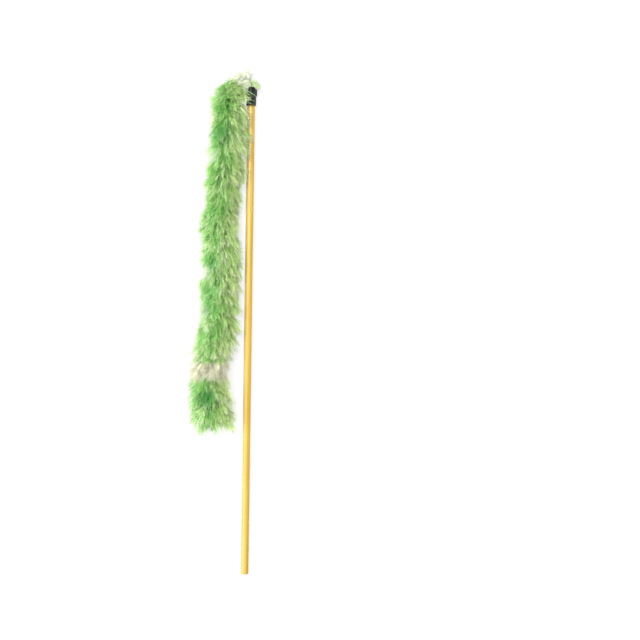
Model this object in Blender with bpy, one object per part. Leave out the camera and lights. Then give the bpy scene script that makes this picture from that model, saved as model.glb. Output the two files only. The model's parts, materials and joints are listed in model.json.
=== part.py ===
# Feather cat wand: a lacquered wooden dowel with a limp tail of dyed feathers bound to its tip.
# It lies on a table, the dowel along +Y with its tip away, and the tail folded back beside it
# on the -X side. Metres, +Z up, origin at the bottom centre of the whole wand.

import math
import random

import bmesh
import bpy
from mathutils import Matrix, Vector

# Dowel
DOWEL_LENGTH = 0.406
DOWEL_DIAMETER = 0.0064
DOWEL_EASED_EDGE = 0.0004
DOWEL_SIDES = 40

# Running gap that every pair of neighbours keeps
GAP = 0.0003

# Binding at the tip: tape over a short thread whipping, which holds the string on the dowel
TAPE_LENGTH = 0.0150
TAPE_PAST_TIP = 0.0010
TAPE_WALL = 0.0008
TAPE_END_ROUND = 0.0003
WHIPPING_LENGTH = 0.0048
WHIPPING_WALL = 0.0005
WHIPPING_FROM_TIP = 0.0008
BINDING_SIDES = 40

# Core string of the tail
STRING_DIAMETER = 0.0020
STRING_UNDER_TAPE = 0.0120
STRING_SIDES = 8
STRING_STEP = 0.0040
BEND_STEP = math.radians(7)
KNOT_DIAMETER = 0.0052
KNOT_LENGTH = 0.0062
KNOT_TAG = 0.0025
KNOT_SIDES = 12

# The knot's two lobes, as (share of its length, share of its radius)
KNOT_SHAPE = (
    (0.00, 0.45), (0.12, 0.82), (0.30, 1.00), (0.50, 0.84), (0.70, 0.98), (0.88, 0.80), (1.00, 0.42),
)

# Fold of the string over the tip, from the binding's mouth to the head of the tail
FOLD_START = 0.0032
FOLD_RISE = 0.0056
FOLD_SHAPE = (
    (0.00, 0.00), (0.08, 0.58), (0.34, 1.00), (0.64, 0.92), (0.88, 0.48), (0.985, -0.30),
)
HEAD_OF_TAIL = 0.0205

# Tail: whorls of feathers on the string, in pairs that move together
TAIL_LENGTH = 0.2935
WHORLS_PER_LINK = 2
FEATHER_REACH = 0.0165
TAIL_STANDOFF = 0.0004
TABLE_SHARE = 0.66
TOP_SHARE = 0.88
WHORL_OVERHANG = 0.0030
JOINT_OVERHANG = 0.0012
NECK_FROM_JOINT = 0.0010
NECK_LENGTH = 0.0007
NECK_WALL = 0.0007
TIP_LENGTH = 0.0014
TIP_FLARE = 0.05
TIP_SPREAD = 0.25
WHORL_SIDES = 20

# A whorl's section, as (share of its pitch, share of its reach)
SHOULDER = (0.30, 0.48)
HEAD_SHOULDER = (0.30, 0.84)
UPPER_HEM = (0.58, 0.74)
HEAD_UPPER_HEM = (0.58, 0.88)
TUCK = (0.55, 0.60)
BULGE = (0.82, 0.80)
INNER_HEM = 0.60
END_HOLLOW = 0.30
UPPER_TIP = 0.6

# Each whorl's reach as a share of the feather reach, from the head of the tail to its end
WHORL_REACHES = (
    0.87, 0.90, 0.97, 0.93, 1.00, 0.92, 1.02, 1.00,
    1.04, 1.04, 1.06, 1.00, 0.96, 1.10, 1.12, 1.04,
)
UNDYED_WHORLS = (14,)

# How far the tail strays from beside the dowel, as (distance back from the tip, sideways)
TAIL_DRIFT = (
    (0.004, 0.0000),
    (0.018, -0.0004),
    (0.036, -0.0002),
    (0.056, -0.0006),
    (0.076, -0.0026),
    (0.098, -0.0040),
    (0.116, -0.0050),
    (0.136, -0.0044),
    (0.168, -0.0052),
    (0.195, -0.0060),
    (0.214, -0.0092),
    (0.230, -0.0114),
    (0.248, -0.0120),
    (0.266, -0.0108),
    (0.284, -0.0086),
    (0.302, -0.0060),
    (0.330, -0.0030),
)

# Loose tufts at the tip
CROWN_FROM = 0.0030
CROWN_SHORT_OF_HEAD = 0.0019
CROWN_REACH = 0.0076
CROWN_INSIDE = 0.0042
CROWN_HEIGHT = 0.0054
CROWN_DEPTH = 0.0036
CROWN_LEAST = 0.28
CROWN_RAGGED = 0.10
CROWN_SHAPE = (
    (0.00, 0.30), (0.20, 0.80), (0.40, 1.00), (0.62, 0.96), (0.82, 0.74), (1.00, 0.34),
)
SIDE_TUFT_LENGTH = 0.0062
SIDE_TUFT_WIDTH = 0.0066
SIDE_TUFT_HEIGHT = 0.0030
SIDE_TUFT_ANGLE = 38.0
SIDE_TUFT_ASIDE = 0.0002
SIDE_TUFT_DROP = 0.0012
SIDE_TUFT_RAGGED = 0.12
SIDE_TUFT_SHAPE = ((0.00, 0.22), (0.25, 0.55), (0.60, 0.95), (0.95, 0.90))
SIDE_TUFT_CUP = (0.80, 0.40)
TUFT_SIDES = 16

DYED = (0.30, 0.62, 0.22)
UNDYED = (0.80, 0.82, 0.72)


def clear_scene():
    for old in list(bpy.data.objects):
        bpy.data.objects.remove(old, do_unlink=True)


def material(name, colour, roughness, metallic=0.0):
    made = bpy.data.materials.new(name)
    made.use_nodes = True
    shader = made.node_tree.nodes["Principled BSDF"]
    shader.inputs["Base Color"].default_value = (*colour, 1.0)
    shader.inputs["Roughness"].default_value = roughness
    shader.inputs["Metallic"].default_value = metallic
    return made


def empty(name, place, parent=None):
    made = bpy.data.objects.new(name, None)
    made.empty_display_size = 0.01
    made.location = place
    made.parent = parent
    bpy.context.scene.collection.objects.link(made)
    return made


def piece(name, bm, finish, parent, pivot=Vector((0, 0, 0))):
    # The mesh is built in the table's frame, and its object sits on its pivot.
    bmesh.ops.recalc_face_normals(bm, faces=bm.faces[:])
    bmesh.ops.translate(bm, verts=bm.verts[:], vec=-pivot)
    mesh = bpy.data.meshes.new(name)
    bm.to_mesh(mesh)
    bm.free()
    mesh.shade_smooth()
    mesh.set_sharp_from_angle(angle=math.radians(40))
    mesh.materials.append(finish)
    made = bpy.data.objects.new(name, mesh)
    made.parent = parent
    bpy.context.scene.collection.objects.link(made)
    return made


def skin(rings, closed_loop):
    # Joins rings of points, each to the next. A closed loop also joins the last to the first,
    # which leaves a bore; otherwise both ends are capped.
    bm = bmesh.new()
    rows = [[bm.verts.new(point) for point in ring] for ring in rings]
    pairs = list(zip(rows, rows[1:]))
    if closed_loop:
        pairs.append((rows[-1], rows[0]))
    for low, high in pairs:
        for k in range(len(low)):
            after = (k + 1) % len(low)
            bm.faces.new((low[k], low[after], high[after], high[k]))
    if not closed_loop:
        bm.faces.new(reversed(rows[0]))
        bm.faces.new(rows[-1])
    return bm


# Routes

def smooth(points, steps=12):
    # A Catmull-Rom curve through the points.
    line = []
    for k in range(len(points) - 1):
        before = points[max(k - 1, 0)]
        start, end = points[k], points[k + 1]
        after = points[min(k + 2, len(points) - 1)]
        for step in range(steps):
            t = step / steps
            line.append(0.5 * (
                2 * start
                + (end - before) * t
                + (2 * before - 5 * start + 4 * end - after) * t ** 2
                + (3 * start - before - 3 * end + after) * t ** 3
            ))
    line.append(points[-1])
    return line


def along(line, distance):
    # (place, direction) at a distance from the line's start.
    for start, end in zip(line, line[1:]):
        length = (end - start).length
        if distance <= length or end is line[-1]:
            return start.lerp(end, distance / length), (end - start).normalized()
        distance -= length


def bearings(line, distance):
    # (place, direction, outward, upward): outward lies level, away from the dowel. The direction
    # is averaged over a short stretch, so that rings turn evenly.
    place, _ = along(line, distance)
    reach = STRING_DIAMETER
    ahead = along(line, distance + reach)[0]
    behind = along(line, max(distance - reach, 0.0))[0]
    direction = (ahead - behind).normalized()
    outward = direction.cross(Vector((0, 0, 1))).normalized()
    return place, direction, outward, outward.cross(direction)


def round_ring(line, distance, radius, sides, phase=0.0):
    place, _, outward, upward = bearings(line, distance)
    turns = [2 * math.pi * (k + phase) / sides for k in range(sides)]
    return [place + radius * (outward * math.cos(a) + upward * math.sin(a)) for a in turns]


def bends_between(line, start, end):
    # How many straight steps a stretch takes, more where the route turns.
    turned = bearings(line, start)[1].angle(bearings(line, end)[1])
    return 2 + math.ceil(turned / BEND_STEP)


def bore_rings(line, start, end, sides, phase=0.0):
    # The wall of the hole that the string runs through, which follows the string's own curve.
    bore = STRING_DIAMETER / 2 + GAP
    steps = bends_between(line, start, end)
    places = [start + (end - start) * k / steps for k in range(steps + 1)]
    return [round_ring(line, place, bore, sides, phase) for place in places]


# Dowel and binding

def bound_section(offset, sides):
    # Outline round the dowel and the string that lies on top of it, a stated offset outside them.
    circles = ((0.0, DOWEL_DIAMETER / 2), (STRING_ON_DOWEL, STRING_DIAMETER / 2))
    outline = []
    for k in range(sides):
        a = 2 * math.pi * k / sides
        height, radius = max(circles, key=lambda c: c[0] * math.sin(a) + c[1])
        reach = radius + offset
        outline.append((reach * math.cos(a), height + reach * math.sin(a)))
    return outline


def section_at(y, offset, sides):
    return [Vector((x, y, z)) for x, z in bound_section(offset, sides)]


def dowel_rings():
    radius = DOWEL_DIAMETER / 2
    stations = (
        (0.0, radius - DOWEL_EASED_EDGE),
        (DOWEL_EASED_EDGE, radius),
        (DOWEL_LENGTH - DOWEL_EASED_EDGE, radius),
        (DOWEL_LENGTH, radius - DOWEL_EASED_EDGE),
    )
    turns = [2 * math.pi * k / DOWEL_SIDES for k in range(DOWEL_SIDES)]
    return [[Vector((r * math.cos(a), y, r * math.sin(a))) for a in turns] for y, r in stations]


def tape_rings():
    # Tight on the dowel at its foot, then stepping out over the whipping.
    foot = DOWEL_LENGTH + TAPE_PAST_TIP - TAPE_LENGTH
    mouth = DOWEL_LENGTH + TAPE_PAST_TIP
    stations = (
        (foot, GAP),
        (foot, GAP + TAPE_WALL - TAPE_END_ROUND),
        (foot + TAPE_END_ROUND, GAP + TAPE_WALL),
        (TAPE_STEP - TAPE_WALL, GAP + TAPE_WALL),
        (TAPE_STEP, OVER_WHIPPING + TAPE_WALL),
        (mouth - TAPE_END_ROUND, OVER_WHIPPING + TAPE_WALL),
        (mouth, OVER_WHIPPING + TAPE_WALL - TAPE_END_ROUND),
        (mouth, OVER_WHIPPING),
        (TAPE_STEP + GAP, OVER_WHIPPING),
        (TAPE_STEP, GAP),
    )
    return [section_at(y, offset, BINDING_SIDES) for y, offset in stations]


def whipping_rings():
    end = DOWEL_LENGTH - WHIPPING_FROM_TIP
    start = end - WHIPPING_LENGTH
    stations = (
        (start, GAP),
        (start, GAP + WHIPPING_WALL),
        (end, GAP + WHIPPING_WALL),
        (end, GAP),
    )
    return [section_at(y, offset, BINDING_SIDES) for y, offset in stations]


# String

def string_body(line, start, end, ball_end):
    # A length of string. Its ball end is centred on the joint at its start, and turns freely
    # against the flat end of the length before it.
    radius = STRING_DIAMETER / 2
    rings = []
    if ball_end:
        place, direction, outward, upward = bearings(line, start)
        for lift in (75, 45, 15):
            tilt = math.radians(lift)
            centre = place - direction * radius * math.sin(tilt)
            reach = radius * math.cos(tilt)
            rings.append([
                centre + reach * (outward * math.cos(a) + upward * math.sin(a))
                for a in (2 * math.pi * k / STRING_SIDES for k in range(STRING_SIDES))
            ])
    steps = max(math.ceil((end - start) / STRING_STEP), bends_between(line, start, end))
    for k in range(1 if ball_end else 0, steps + 1):
        rings.append(round_ring(line, start + (end - start) * k / steps, radius, STRING_SIDES))
    return skin(rings, closed_loop=False)


def knot_body(line, start):
    # An overhand knot as two lobes, with the string's tag end past it.
    radius = KNOT_DIAMETER / 2
    rings = [
        round_ring(line, start + KNOT_LENGTH * share, radius * width, KNOT_SIDES)
        for share, width in KNOT_SHAPE
    ]
    tag = start + KNOT_LENGTH
    rings.append(round_ring(line, tag + GAP, STRING_DIAMETER / 2, KNOT_SIDES))
    rings.append(round_ring(line, tag + KNOT_TAG, STRING_DIAMETER / 2, KNOT_SIDES))
    return skin(rings, closed_loop=False)


# Feathers

def feather_ring(line, distance, reach, lengths, phase):
    # A ring of a whorl: flatter towards the table than on top. lengths gives each point's own
    # (step along the string, share of the reach).
    ring = []
    sides = len(lengths)
    for k, (step, share) in enumerate(lengths):
        place, _, outward, upward = bearings(line, distance + step)
        a = 2 * math.pi * (k + phase) / sides
        rise = math.sin(a)
        height = TOP_SHARE if rise > 0 else TABLE_SHARE * FEATHER_REACH / reach
        if rise < 0:
            height /= 1 + TIP_FLARE
        ring.append(place + reach * share * (outward * math.cos(a) + upward * height * rise))
    return ring


def whorl_body(line, start, pitch, reach, order, chance):
    # Two skirts of feather tips, one under the other, round a bore for the string. Each skirt
    # hangs over the next, with longer and shorter tips in turn. The last has room for the knot.
    bore = STRING_DIAMETER / 2 + GAP
    phase = 0.5 * (order % 2)
    shoulder = SHOULDER if order else HEAD_SHOULDER
    upper_hem = UPPER_HEM if order else HEAD_UPPER_HEM
    before_joint = (order + 1) % WHORLS_PER_LINK == 0
    overhang = JOINT_OVERHANG if before_joint else WHORL_OVERHANG
    last = order == len(WHORL_REACHES) - 1
    hollow, inner_hem = (KNOT_ROOM, END_HOLLOW) if last else (0.0, INNER_HEM)

    def even(station):
        points = [(0.0, station[1])] * WHORL_SIDES
        return feather_ring(line, start + station[0] * pitch, reach, points, phase)

    def ragged(distance, share, tip):
        points = []
        for k in range(WHORL_SIDES):
            side = 1 if k % 2 else -1
            step = tip * (side + chance.uniform(-TIP_SPREAD, TIP_SPREAD))
            points.append((step, share * (1 + TIP_FLARE * (side - 1) / 2)))
        return feather_ring(line, start + distance, reach, points, phase)

    neck = start + NECK_FROM_JOINT
    rings = [
        round_ring(line, neck + NECK_LENGTH, bore + NECK_WALL, WHORL_SIDES, phase),
        even(shoulder),
        ragged(upper_hem[0] * pitch, upper_hem[1], UPPER_TIP * TIP_LENGTH),
        even(TUCK),
        even(BULGE),
        ragged(pitch + overhang, 1 + TIP_FLARE, TIP_LENGTH),
        even((1 - hollow / pitch, inner_hem)),
    ]
    rings += bore_rings(line, start + pitch - hollow - GAP / 2, neck, WHORL_SIDES, phase)
    return skin(rings, closed_loop=True)


def crown_body(line, chance):
    # Feather tips that stand out over the fold, round a bore for the string.
    bore = STRING_DIAMETER / 2 + GAP
    rings = []
    for t, share in CROWN_SHAPE:
        place, _, outward, upward = bearings(line, CROWN_FROM + (CROWN_TO - CROWN_FROM) * t)
        ring = []
        for k in range(TUFT_SIDES):
            a = 2 * math.pi * k / TUFT_SIDES
            side, rise = math.cos(a), math.sin(a)
            tip = 1 + (CROWN_RAGGED if k % 2 else -CROWN_RAGGED) * chance.uniform(0.6, 1.0)
            grow = max(share * tip, CROWN_LEAST)
            reach = CROWN_REACH if side > 0 else CROWN_INSIDE
            level = bore + (reach - bore) * grow * abs(side)
            height = bore + ((CROWN_HEIGHT if rise > 0 else CROWN_DEPTH) - bore) * grow * abs(rise)
            ring.append(place + outward * level * side + upward * height * rise)
        rings.append(ring)
    rings += bore_rings(line, CROWN_TO, CROWN_FROM, TUFT_SIDES)
    return skin(rings, closed_loop=True)


def side_tuft_body(chance):
    # A small spray of feather tips, glued on the end of the dowel inside the binding's mouth,
    # that stands out beside the fold.
    lean = math.radians(SIDE_TUFT_ANGLE)
    root_dip = math.sin(lean) * SIDE_TUFT_SHAPE[0][1] * SIDE_TUFT_WIDTH / 2
    root = Vector((SIDE_TUFT_ASIDE, DOWEL_LENGTH + GAP + root_dip, -SIDE_TUFT_DROP))
    forward = Vector((math.sin(lean), math.cos(lean), 0)) * SIDE_TUFT_LENGTH
    outward = Vector((math.cos(lean), -math.sin(lean), 0)) * SIDE_TUFT_WIDTH / 2
    upward = Vector((0, 0, 1)) * SIDE_TUFT_HEIGHT / 2
    rings = []
    for t, share in (*SIDE_TUFT_SHAPE, SIDE_TUFT_CUP):
        hem = t == SIDE_TUFT_SHAPE[-1][0]
        ring = []
        for k in range(TUFT_SIDES):
            a = 2 * math.pi * k / TUFT_SIDES
            tip = (SIDE_TUFT_RAGGED if k % 2 else -SIDE_TUFT_RAGGED) * chance.uniform(0.5, 1.0)
            length = t + tip if hem else t
            ring.append(
                root + forward * length + share * (outward * math.cos(a) + upward * math.sin(a))
            )
        rings.append(ring)
    return skin(rings, closed_loop=False)


# Sizes that follow from the ones above
STRING_ON_DOWEL = DOWEL_DIAMETER / 2 + GAP + STRING_DIAMETER / 2
OVER_WHIPPING = 2 * GAP + WHIPPING_WALL
CROWN_TO = HEAD_OF_TAIL - CROWN_SHORT_OF_HEAD
KNOT_ROOM = KNOT_LENGTH + KNOT_TAG
TAPE_STEP = DOWEL_LENGTH - WHIPPING_FROM_TIP - WHIPPING_LENGTH - 2 * GAP
STICK_LEAN = math.asin((OVER_WHIPPING + TAPE_WALL) / TAPE_STEP)
TAIL_HEIGHT = TABLE_SHARE * FEATHER_REACH
TAIL_ASIDE = DOWEL_DIAMETER / 2 + GAP + TAPE_WALL + TAIL_STANDOFF + FEATHER_REACH * WHORL_REACHES[0]


def stick_frame():
    # The dowel rests on its butt and on the tape where it is thickest, over the whipping.
    lift = Matrix.Translation((0, 0, DOWEL_DIAMETER / 2 / math.cos(STICK_LEAN)))
    return lift @ Matrix.Rotation(STICK_LEAN, 4, "X")


def tail_line(fold_start):
    # The whole route of the string past the binding: over the fold and down beside the dowel.
    points = []
    for across, up in FOLD_SHAPE:
        height = fold_start.z + (TAIL_HEIGHT - fold_start.z) * min(1.0, across / 0.9)
        points.append(Vector((
            fold_start.x - TAIL_ASIDE * across, fold_start.y + FOLD_RISE * up, height,
        )))
    for back, sideways in TAIL_DRIFT:
        points.append(Vector((sideways - TAIL_ASIDE, DOWEL_LENGTH - back, TAIL_HEIGHT)))
    return smooth(points)


def build():
    clear_scene()
    chance = random.Random(5)

    lacquered_wood = material("lacquered_wood", (0.86, 0.60, 0.16), 0.35)
    black_tape = material("black_tape", (0.02, 0.02, 0.025), 0.30)
    cotton = material("cotton", (0.55, 0.68, 0.42), 0.90)
    dyed_feather = material("dyed_feather", DYED, 0.85)
    undyed_feather = material("undyed_feather", UNDYED, 0.85)

    table = empty("table", (0, 0, 0))
    stick = empty("stick", (0, 0, 0), table)
    stick.matrix_local = stick_frame()

    piece("wooden_dowel", skin(dowel_rings(), False), lacquered_wood, stick)
    piece("tape_binding", skin(tape_rings(), True), black_tape, stick)
    piece("thread_whipping", skin(whipping_rings(), True), cotton, stick)

    fold_start_on_stick = Vector((0, DOWEL_LENGTH + FOLD_START, STRING_ON_DOWEL))
    clearance = STRING_DIAMETER / 2 + GAP
    bound_line = [
        Vector((0, DOWEL_LENGTH - STRING_UNDER_TAPE, STRING_ON_DOWEL)),
        Vector((0, DOWEL_LENGTH + FOLD_START - clearance, STRING_ON_DOWEL)),
    ]
    bound_length = STRING_UNDER_TAPE + FOLD_START - clearance
    piece("string_bound", string_body(bound_line, 0, bound_length, False), cotton, stick)
    piece("side_tuft", side_tuft_body(chance), dyed_feather, stick)

    fold_start = stick_frame() @ fold_start_on_stick
    line = tail_line(fold_start)
    fold = empty("fold_swing", fold_start, table)
    string_end = HEAD_OF_TAIL - clearance
    piece("string_fold", string_body(line, 0, string_end, True), cotton, fold, fold_start)
    piece("crown_tuft", crown_body(line, chance), undyed_feather, fold, fold_start)

    pitch = TAIL_LENGTH / len(WHORL_REACHES)
    link_length = pitch * WHORLS_PER_LINK
    links = len(WHORL_REACHES) // WHORLS_PER_LINK
    parent, parent_place = fold, fold_start
    for link in range(links):
        start = HEAD_OF_TAIL + link * link_length
        pivot = along(line, start)[0]
        joint = empty(f"tail_joint_{link + 1}", pivot - parent_place, parent)
        last = link == links - 1
        end = start + link_length - (KNOT_ROOM if last else clearance)
        string = string_body(line, start, end, True)
        piece(f"string_{link + 1}", string, cotton, joint, pivot)
        for k in range(WHORLS_PER_LINK):
            order = link * WHORLS_PER_LINK + k
            reach = FEATHER_REACH * WHORL_REACHES[order]
            body = whorl_body(line, start + k * pitch, pitch, reach, order, chance)
            finish = undyed_feather if order + 1 in UNDYED_WHORLS else dyed_feather
            piece(f"feather_whorl_{order + 1:02d}", body, finish, joint, pivot)
        parent, parent_place = joint, pivot
    knot_start = HEAD_OF_TAIL + TAIL_LENGTH - KNOT_ROOM + GAP
    piece("end_knot", knot_body(line, knot_start), cotton, parent, parent_place)

    stand_on_origin(table)


def stand_on_origin(table):
    # Moves the whole wand so that the middle of its underside is the origin.
    bpy.context.view_layer.update()
    corners = [
        thing.matrix_world @ vertex.co
        for thing in bpy.data.objects if thing.type == "MESH"
        for vertex in thing.data.vertices
    ]
    low = Vector([min(point[k] for point in corners) for k in range(3)])
    high = Vector([max(point[k] for point in corners) for k in range(3)])
    table.location = Vector((-(low.x + high.x) / 2, -(low.y + high.y) / 2, -low.z))
    bpy.context.view_layer.update()


build()
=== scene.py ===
# Looks of a feather cat wand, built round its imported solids: a lacquered dowel whose limp tail
# of dyed feathers lies beside it. Metres, +Z up, the dowel along +Y, the tail on the -X side.

import json
import math
from functools import partial
import bmesh
import bpy
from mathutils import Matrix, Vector, noise


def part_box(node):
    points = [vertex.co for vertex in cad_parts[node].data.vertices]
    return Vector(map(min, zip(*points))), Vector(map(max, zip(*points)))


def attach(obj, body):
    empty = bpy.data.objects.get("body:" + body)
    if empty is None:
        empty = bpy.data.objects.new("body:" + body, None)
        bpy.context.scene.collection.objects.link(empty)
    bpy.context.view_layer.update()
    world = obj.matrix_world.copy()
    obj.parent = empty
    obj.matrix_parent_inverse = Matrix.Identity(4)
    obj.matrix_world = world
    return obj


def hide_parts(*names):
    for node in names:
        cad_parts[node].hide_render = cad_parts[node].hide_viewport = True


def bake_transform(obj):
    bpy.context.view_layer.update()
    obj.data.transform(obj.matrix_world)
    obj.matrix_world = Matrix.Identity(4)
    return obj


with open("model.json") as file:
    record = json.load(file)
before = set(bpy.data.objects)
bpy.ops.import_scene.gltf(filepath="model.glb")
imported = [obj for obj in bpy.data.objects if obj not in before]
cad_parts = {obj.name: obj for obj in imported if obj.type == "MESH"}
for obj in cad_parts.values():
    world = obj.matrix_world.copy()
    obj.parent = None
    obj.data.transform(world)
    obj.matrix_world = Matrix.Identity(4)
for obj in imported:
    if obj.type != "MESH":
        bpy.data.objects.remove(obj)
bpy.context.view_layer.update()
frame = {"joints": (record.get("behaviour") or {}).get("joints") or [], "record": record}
print("frame loaded")

up = Vector((0, 0, 1))
gap = 0.0003  # the running gap between neighbours, as in the solids
stringRadius = 0.0010


def linear(hexColour):
    # sRGB hex to the linear colour that Blender keeps.
    shares = [int(hexColour[k:k + 2], 16) / 255 for k in (1, 3, 5)]
    return [s / 12.92 if s <= 0.04045 else ((s + 0.055) / 1.055) ** 2.4 for s in shares] + [1.0]


def feed(tree, value, socket):
    # Gives a socket its value, or links it to a socket or to a node's first output.
    if isinstance(value, bpy.types.Node):
        value = next(output for output in value.outputs if output.enabled)
    if isinstance(value, bpy.types.NodeSocket):
        tree.links.new(value, socket)
    else:
        socket.default_value = value


def addNode(tree, kind, *values, inputs=None, **settings):
    # Adds a node with its settings. Values fill its sockets in order, and inputs fills them by
    # name. Each is a plain value, a socket, or a node, whose first output is used.
    node = tree.nodes.new(kind)
    for setting, value in settings.items():
        setattr(node, setting, value)
    inUse = [socket for socket in node.inputs if socket.enabled]
    filled = list(zip(inUse, values))
    for name, value in (inputs or {}).items():
        filled.append((next(socket for socket in inUse if socket.name == name), value))
    for socket, value in filled:
        feed(tree, value, socket)
    return node


def startMaterial(name, values):
    # A Principled material. Values that are the same all over stay on the shader's own sockets.
    made = bpy.data.materials.new(name)
    made.use_nodes = True
    tree = made.node_tree
    tree.nodes.clear()
    shader = addNode(tree, "ShaderNodeBsdfPrincipled", inputs=values)
    addNode(tree, "ShaderNodeOutputMaterial", shader)
    return made, tree, shader


def setRamp(node, stops):
    ramp = node.color_ramp
    for place, _ in stops[1:-1]:
        ramp.elements.new(place)
    ramp.elements[0].position, ramp.elements[-1].position = stops[0][0], stops[-1][0]
    for element, (_, colour) in zip(ramp.elements, stops):
        element.color = linear(colour)


# Shared shapes

def smoothLine(points, steps):
    # A Catmull-Rom line through the points, with so many steps between two of them.
    line = []
    for k in range(len(points) - 1):
        before, start = points[max(k - 1, 0)], points[k]
        end, after = points[k + 1], points[min(k + 2, len(points) - 1)]
        for step in range(steps):
            t = step / steps
            line.append(0.5 * (
                2 * start + (end - before) * t
                + (2 * before - 5 * start + 4 * end - after) * t ** 2
                + (3 * start - before - 3 * end + after) * t ** 3
            ))
    line.append(points[-1])
    return line


def lineLengths(line):
    # The distance of each point from the line's start.
    lengths = [0.0]
    for start, end in zip(line, line[1:]):
        lengths.append(lengths[-1] + (end - start).length)
    return lengths


def between(table, place):
    # Reads a table of (place, value, ...) rows at a place, with straight runs between rows.
    for low, high in zip(table, table[1:]):
        if place <= high[0]:
            share = max(0.0, (place - low[0]) / (high[0] - low[0]))
            return [a + (b - a) * share for a, b in zip(low[1:], high[1:])]
    return list(table[-1][1:])


def easeStep(value, low, high):
    share = min(max((value - low) / (high - low), 0.0), 1.0)
    return share * share * (3 - 2 * share)


def joinRings(bm, rings, closedLoop=False):
    # Joins rings of points, each to the next. Open runs are capped at both ends.
    rows = [[bm.verts.new(point) for point in ring] for ring in rings]
    pairs = list(zip(rows, rows[1:]))
    if closedLoop:
        pairs.append((rows[-1], rows[0]))
    for low, high in pairs:
        for k in range(len(low)):
            after = (k + 1) % len(low)
            bm.faces.new((low[k], low[after], high[after], high[k]))
    if not closedLoop:
        bm.faces.new(reversed(rows[0]))
        bm.faces.new(rows[-1])


def taperedTube(bm, line, radii, sides, guide=up):
    # A tube along a line. Its sides are measured from a guide that the line never runs along.
    rings = []
    for k, point in enumerate(line):
        ahead, behind = line[min(k + 1, len(line) - 1)], line[max(k - 1, 0)]
        direction = (ahead - behind).normalized()
        side = direction.cross(guide).normalized()
        other = side.cross(direction)
        turns = [2 * math.pi * n / sides for n in range(sides)]
        rings.append([point + radii[k] * (side * math.cos(a) + other * math.sin(a)) for a in turns])
    joinRings(bm, rings)


def putInScene(name, data):
    thing = bpy.data.objects.new(name, data)
    bpy.context.scene.collection.objects.link(thing)
    return thing


def finishPiece(name, bm, finish, sharpAngle=40):
    bmesh.ops.recalc_face_normals(bm, faces=bm.faces[:])
    mesh = bpy.data.meshes.new(name)
    bm.to_mesh(mesh)
    bm.free()
    mesh.shade_smooth()
    mesh.set_sharp_from_angle(angle=math.radians(sharpAngle))
    mesh.materials.append(finish)
    piece = putInScene(name, mesh)
    return piece


def growPiece(name, tree, holder, values):
    # Runs a Geometry Nodes tree on a holder object and keeps the result as a plain mesh.
    modifier = holder.modifiers.new(tree.name, "NODES")
    modifier.node_group = tree
    for item in tree.interface.items_tree:
        if item.in_out == "INPUT" and item.name in values:
            modifier[item.identifier] = values[item.name]
    graph = bpy.context.evaluated_depsgraph_get()
    mesh = bpy.data.meshes.new_from_object(holder.evaluated_get(graph))
    holder.modifiers.remove(modifier)
    mesh.name = name
    piece = putInScene(name, mesh)
    print(name, len(mesh.polygons), "faces")
    return piece


# Places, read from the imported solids

buttMount = frame["record"]["mounts"][0]
butt = Vector(buttMount["pos_m"])
stickWay = -Vector(buttMount["axis"])
stickSide = stickWay.cross(up).normalized()
stickUp = stickSide.cross(stickWay)
dowelLow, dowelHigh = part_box("wooden_dowel")
dowelRadius = (dowelHigh.x - dowelLow.x) / 2
dowelLength = 0.406  # as in the solids
tapeLow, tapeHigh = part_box("tape_binding")
pivots = [Vector(joint["pos_m"]) for joint in frame["joints"]]
foldStart, tailPivots = pivots[0], pivots[1:]


def onStick(side, along, height):
    return butt + stickSide * side + stickWay * along + stickUp * height


# The string's route past the binding: over the fold and down beside the dowel
route = {
    "aside": 0.01906,
    "rise": 0.0056,
    "levelAt": 0.9,  # the share of the fold's width at which the string is at the tail's height
    "steps": 12,
    "fold": ((0.00, 0.00), (0.08, 0.58), (0.34, 1.00), (0.64, 0.92), (0.88, 0.48), (0.985, -0.30)),
    "drift": (
        (0.004, 0.0000), (0.018, -0.0004), (0.036, -0.0002), (0.056, -0.0006), (0.076, -0.0026),
        (0.098, -0.0040), (0.116, -0.0050), (0.136, -0.0044), (0.168, -0.0052), (0.195, -0.0060),
        (0.214, -0.0092), (0.230, -0.0114), (0.248, -0.0120), (0.266, -0.0108), (0.284, -0.0086),
        (0.302, -0.0060), (0.330, -0.0030),
    ),
}
tip = onStick(0, dowelLength, 0)
tailHeight = tailPivots[1].z
tailPoints = []
for across, rise in route["fold"]:
    height = foldStart.z + (tailHeight - foldStart.z) * min(1.0, across / route["levelAt"])
    tailPoints.append(Vector((
        foldStart.x - route["aside"] * across, foldStart.y + route["rise"] * rise, height,
    )))
for back, sideways in route["drift"]:
    tailPoints.append(Vector((foldStart.x - route["aside"] + sideways, tip.y - back, tailHeight)))
tailLine = smoothLine(tailPoints, route["steps"])
tailLengths = lineLengths(tailLine)


def lengthNear(point):
    # How far along the tail's line a point lies.
    return min(zip(tailLengths, tailLine), key=lambda pair: (pair[1] - point).length)[0]


pivotLengths = [lengthNear(pivot) for pivot in tailPivots]
tailEndLength = lengthNear(Vector((tailPivots[-1].x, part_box("end_knot")[0].y, tailHeight)))


# Tail feathers

tail = {
    "feathersPerMetre": 4000,
    "barbs": 50,
    "barbLength": 0.0090,
    "barbRadius": 0.00016,
    "quillRadius": 0.00020,
    "leanSpread": math.radians(12),
    "twistSpread": math.radians(80),
    "fluffSpread": math.radians(44),
    "lockSize": 0.0050,
    "lockReach": 0.0005,
    "wispSize": 0.0018,
    "wispReach": 0.0007,
    "topShare": 0.84,
    "tableShare": 0.66,
    "flatness": 0.35,
    "fullReach": 0.0090,
    "sagZone": 0.0032,
    "quillShare": 0.80,
    "startLength": 0.0166,
    "turnZone": 0.009,
    "undyedFrom": -0.0280,
    "undyedTo": -0.0370,
    "lastRoot": -0.0775,
    "quickShare": 0.45,
}

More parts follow.
